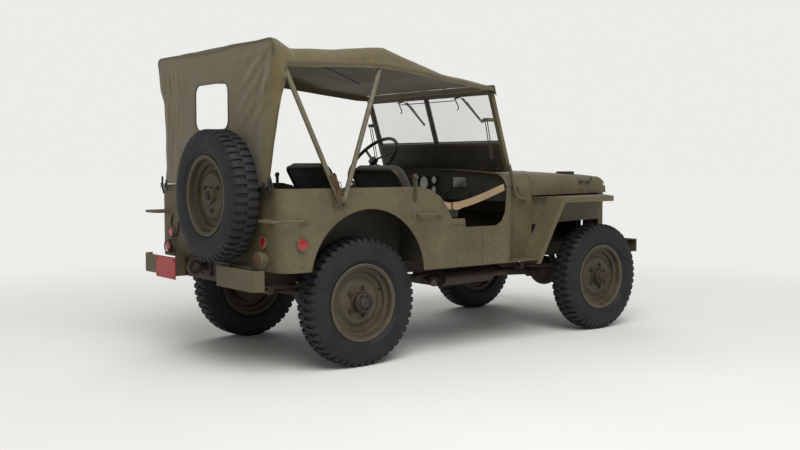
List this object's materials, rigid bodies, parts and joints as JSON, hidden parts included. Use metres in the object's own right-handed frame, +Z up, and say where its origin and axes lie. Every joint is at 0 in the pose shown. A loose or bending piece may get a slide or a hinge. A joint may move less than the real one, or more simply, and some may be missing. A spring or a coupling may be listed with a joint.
{
  "type": "quarter-ton 4x4 army utility car",
  "caption": "Open-bodied military 4x4 utility car with a canvas top on bows, rear-mounted spare wheel, cut-down sides, flat fenders and a slotted grille.",
  "frame": {"origin": "on the ground under the middle of the overall length and width", "axes": "+X forward, +Y to the car's left, +Z up"},
  "size_m": [3.3272, 1.5758, 1.7913],
  "materials": {
    "body_paint": "flat olive drab paint",
    "chassis_paint": "dull dark olive paint with road dirt",
    "wheel_paint": "flat olive drab paint",
    "tyre": "worn black rubber",
    "canvas": "khaki brown cotton duck",
    "seat_canvas": "dark olive canvas over padding",
    "webbing": "tan webbing",
    "bow_paint": "grey khaki paint on steel tube",
    "glass": "clear flat glass",
    "lamp_glass": "red lens in painted housings",
    "headlamp": "painted bowl with a clear lens",
    "cast_iron": "painted cast iron",
    "dark_steel": "dull oiled steel",
    "red_plate": "blank red enamel",
    "black_paint": "satin black"
  },
  "bodies": {
    "car": {"frame": "chassis_paint", "front_bumper": "body_paint", "bumperettes": "body_paint", "pintle_hook": "dark_steel", "leaf_springs": "chassis_paint", "shock_absorbers": "chassis_paint", "axle_housings": "chassis_paint", "spare_wheel": "wheel_paint", "spare_tyre": "tyre", "spare_carrier": "body_paint", "propeller_shafts": "chassis_paint", "engine": "cast_iron", "gearbox": "cast_iron", "exhaust": "dark_steel", "radiator": "black_paint", "floor": "body_paint", "body_sides": "body_paint", "rear_panel": "body_paint", "wheelhouses": "body_paint", "cowl": "body_paint", "dashboard": "body_paint", "grille": "body_paint", "fenders": "body_paint", "headlamps": "headlamp", "windscreen_frame": "body_paint", "windscreen_glass": "glass", "steering_column": "black_paint", "fuel_tank": "body_paint", "seat_frames": "body_paint", "front_seat_pads": "seat_canvas", "rear_seat_pads": "seat_canvas", "levers_and_pedals": "black_paint", "top_bows": "bow_paint", "canvas_top": "canvas", "rear_lights": "lamp_glass", "grab_handles": "body_paint", "safety_straps": "webbing", "registration_plate": "red_plate"},
    "hood": {"hood": "body_paint"},
    "steering_wheel": {"steering_wheel": "black_paint"},
    "knuckle_left": {"knuckle_left": "chassis_paint"},
    "knuckle_right": {"knuckle_right": "chassis_paint"},
    "tie_rod": {"tie_rod": "chassis_paint"},
    "road_wheel_front_left": {"wheel_front_left": "wheel_paint", "tyre_front_left": "tyre"},
    "road_wheel_front_right": {"wheel_front_right": "wheel_paint", "tyre_front_right": "tyre"},
    "road_wheel_rear_left": {"wheel_rear_left": "wheel_paint", "tyre_rear_left": "tyre"},
    "road_wheel_rear_right": {"wheel_rear_right": "wheel_paint", "tyre_rear_right": "tyre"}
  },
  "joints": [
    {"name": "wheel_spin_front_left", "type": "hinge", "parent": "knuckle_left", "child": "road_wheel_front_left", "pos_m": [1.1365, 0.622, 0.362], "axis": [0, 1, 0], "continuous": true},
    {"name": "wheel_spin_front_right", "type": "hinge", "parent": "knuckle_right", "child": "road_wheel_front_right", "pos_m": [1.1365, -0.622, 0.362], "axis": [0, 1, 0], "continuous": true},
    {"name": "wheel_spin_rear_left", "type": "hinge", "parent": "car", "child": "road_wheel_rear_left", "pos_m": [-0.8955, 0.622, 0.362], "axis": [0, 1, 0], "continuous": true},
    {"name": "wheel_spin_rear_right", "type": "hinge", "parent": "car", "child": "road_wheel_rear_right", "pos_m": [-0.8955, -0.622, 0.362], "axis": [0, 1, 0], "continuous": true},
    {"name": "steer_left", "type": "hinge", "parent": "car", "child": "knuckle_left", "pos_m": [1.1365, 0.527, 0.362], "axis": [0, 0, 1], "range_deg": [-26, 26]},
    {"name": "steer_right", "type": "hinge", "parent": "car", "child": "knuckle_right", "pos_m": [1.1365, -0.527, 0.362], "axis": [0, 0, 1], "range_deg": [-26, 26]},
    {"name": "tie_rod_pivot", "type": "hinge", "parent": "knuckle_left", "child": "tie_rod", "pos_m": [1.3015, 0.527, 0.34], "axis": [0, 0, 1], "range_deg": [-26, 26]},
    {"name": "steering_wheel_turn", "type": "hinge", "parent": "car", "child": "steering_wheel", "pos_m": [-0.0275, 0.389, 1.161], "axis": [-0.7454, 0, 0.6666], "range_deg": [-340, 340]},
    {"name": "hood_open", "type": "hinge", "parent": "car", "child": "hood", "pos_m": [0.5375, 0, 1.116], "axis": [0, -1, 0], "range_deg": [0, 110]}
  ],
  "couplings": [
    {"joint": "steer_right", "follows": "steer_left", "ratio": 1},
    {"joint": "tie_rod_pivot", "follows": "steer_left", "ratio": -1},
    {"joint": "steering_wheel_turn", "follows": "steer_left", "ratio": 13}
  ]
}
